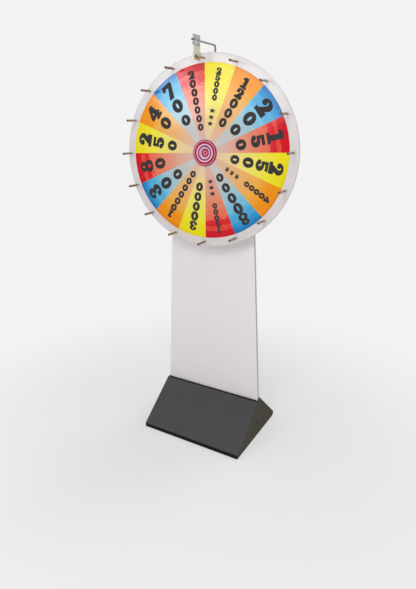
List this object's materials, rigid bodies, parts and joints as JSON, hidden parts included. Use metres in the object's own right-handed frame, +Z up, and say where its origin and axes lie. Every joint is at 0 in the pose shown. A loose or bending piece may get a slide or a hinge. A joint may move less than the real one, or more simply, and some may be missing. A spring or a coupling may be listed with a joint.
{
  "type": "carnival game wheel",
  "caption": "Free-standing prize wheel: a pegged disc with coloured sectors spins before a tapered board on a wedge base, while a strap on a bent rod drags on the pegs.",
  "frame": {"origin": "on the floor, under the middle of the base", "axes": "+X to the right as seen from the front, +Y from the front to the back, +Z up"},
  "size_m": [0.7999, 0.404, 1.716],
  "materials": {
    "base_black": "matte black powder coat",
    "base_slate": "matte slate grey powder coat",
    "base_end": "matte brown-black paint",
    "zinc_steel": "zinc plated",
    "black_screw": "black oxide",
    "ballast_iron": "rough",
    "board_core": "laminated board, pale edge",
    "board_face": "satin white film",
    "post_black": "satin black powder coat",
    "black_plastic": "moulded",
    "turned_steel": "turned",
    "cage_brass": "pressed",
    "black_rubber": "matte",
    "hub_alloy": "turned",
    "white_acrylic": "glossy white sheet",
    "print_film": "glossy film with coloured sectors",
    "cap_red": "red and pale rings",
    "peg_metal": "bronzed steel",
    "rod_steel": "bare steel rod",
    "galvanised": "galvanised sheet",
    "strap_leather": "undyed pale leather"
  },
  "bodies": {
    "stand": {"base_tray": "base_black", "base_cover": "base_slate", "base_end_left": "base_end", "base_end_right": "base_end", "tie_bar": "zinc_steel", "tie_screws": "black_screw", "ballast_front": "ballast_iron", "ballast_back": "ballast_iron", "socket_rail_front": "zinc_steel", "socket_rail_left": "zinc_steel", "socket_rail_right": "zinc_steel", "socket_bolts": "zinc_steel", "base_nuts": "zinc_steel", "flange_screws": "zinc_steel", "board": "board_core", "face_sheet": "board_face", "post": "post_black", "post_foot": "post_black", "post_cap": "black_plastic", "post_screws": "zinc_steel", "axle": "turned_steel", "axle_washer": "zinc_steel", "axle_nut": "zinc_steel", "plate_bolts": "zinc_steel", "plate_nuts": "zinc_steel", "plate_spacer_sleeve": "turned_steel", "bearing_spacer": "turned_steel", "bearing_inner_rings": "turned_steel", "axle_shim": "turned_steel", "axle_ring": "turned_steel", "pointer_rod": "rod_steel", "rod_end_cap": "black_rubber", "rod_clip_lower": "black_plastic", "rod_clip_upper": "black_plastic", "rod_clip_screws": "zinc_steel", "clapper_plate": "galvanised", "clapper_bar": "galvanised", "clapper_screws": "black_screw", "clapper_rivets": "galvanised", "strap_root": "strap_leather"},
    "wheel": {"bearing_outer_rings": "turned_steel", "bearing_seals": "black_rubber", "hub": "hub_alloy", "hub_ring": "turned_steel", "hub_screws": "zinc_steel", "wheel_disc": "white_acrylic", "print_sheet": "print_film", "pegs": "peg_metal", "peg_nuts": "zinc_steel", "hub_cap": "cap_red"},
    "ball_set": {"bearing_balls": "turned_steel", "bearing_cages": "cage_brass"},
    "clapper": {"clapper_strap": "strap_leather"}
  },
  "joints": [
    {"name": "wheel_spin", "type": "hinge", "parent": "stand", "child": "wheel", "pos_m": [0, -0.034, 1.255], "axis": [0, -1, 0], "continuous": true},
    {"name": "ball_roll", "type": "hinge", "parent": "stand", "child": "ball_set", "pos_m": [0, -0.034, 1.255], "axis": [0, -1, 0], "continuous": true},
    {"name": "clapper_flex", "type": "hinge", "parent": "stand", "child": "clapper", "pos_m": [-0.0069, -0.0865, 1.6762], "axis": [0, 1, 0], "range_deg": [0, 48], "stiffness_Nm_per_rad": 0.1}
  ],
  "couplings": [
    {"joint": "ball_roll", "follows": "wheel_spin", "ratio": 0.6024}
  ]
}
